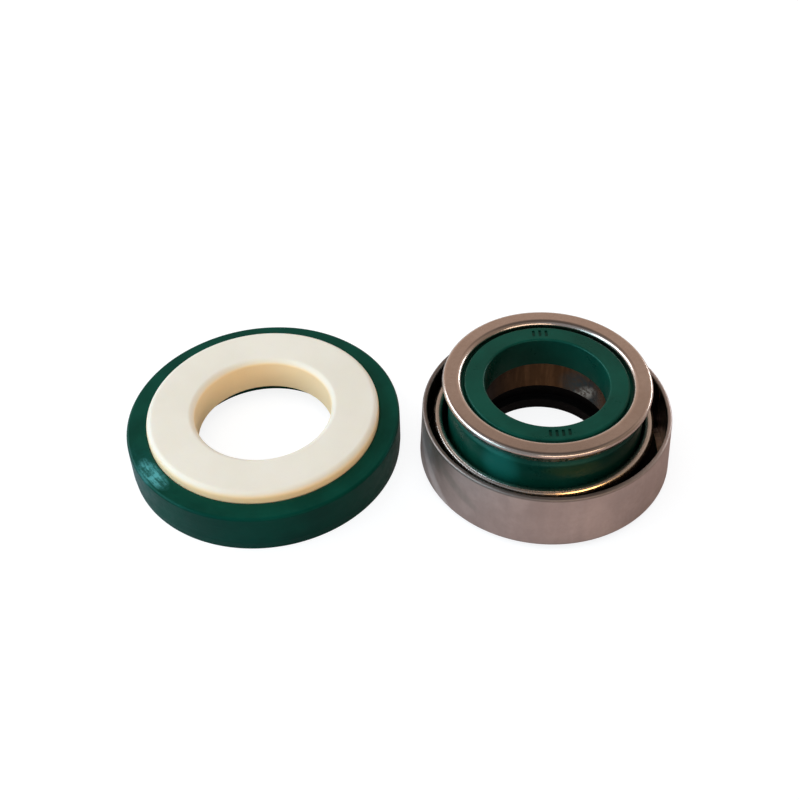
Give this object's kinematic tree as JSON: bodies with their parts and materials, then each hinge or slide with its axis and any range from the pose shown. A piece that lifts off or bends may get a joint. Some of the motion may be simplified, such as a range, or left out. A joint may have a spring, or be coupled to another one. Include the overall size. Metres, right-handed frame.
{
  "type": "component mechanical seal",
  "caption": "Rubber-bellows mechanical seal set: rotary head with carbon face in a steel casing, and a ceramic seat ring in a rubber boot, lying side by side.",
  "frame": {"origin": "shaft axis of the rotary head, in the plane of the carbon sealing face, which is also the plane both halves lie on", "axes": "+Z along the shaft axis from the sealing face to the tail of the head; +X from the seat towards the head; +Y completes the right-handed frame"},
  "size_m": [0.0854, 0.044, 0.0161],
  "materials": {
    "case_steel": "drawn stainless, satin, light handling marks",
    "ring_steel": "pressed stainless, smooth",
    "sleeve_steel": "bright drawn",
    "spring_steel": "drawn wire",
    "carbon": "resin-bonded carbon, matt, lapped on the nose",
    "head_rubber": "moulded green FKM, semi-gloss",
    "boot_rubber": "moulded green FKM, satin",
    "alumina": "ground and lapped, ivory"
  },
  "bodies": {
    "face_end": {"outer_case": "case_steel", "retainer_ring": "ring_steel", "carbon_face": "carbon", "thrust_washer": "ring_steel", "bellows": "head_rubber", "spring": "spring_steel", "seat_ring": "alumina", "seat_boot": "boot_rubber"},
    "tail_end": {"tail_ring": "ring_steel", "guide_sleeve": "sleeve_steel"}
  },
  "joints": [
    {"name": "tail_slide", "type": "slide", "parent": "face_end", "child": "tail_end", "axis": [0, 0, 1], "range_m": [-0.0025, 0], "stiffness_N_per_m": 20000, "deforming": ["bellows", "spring"]}
  ]
}
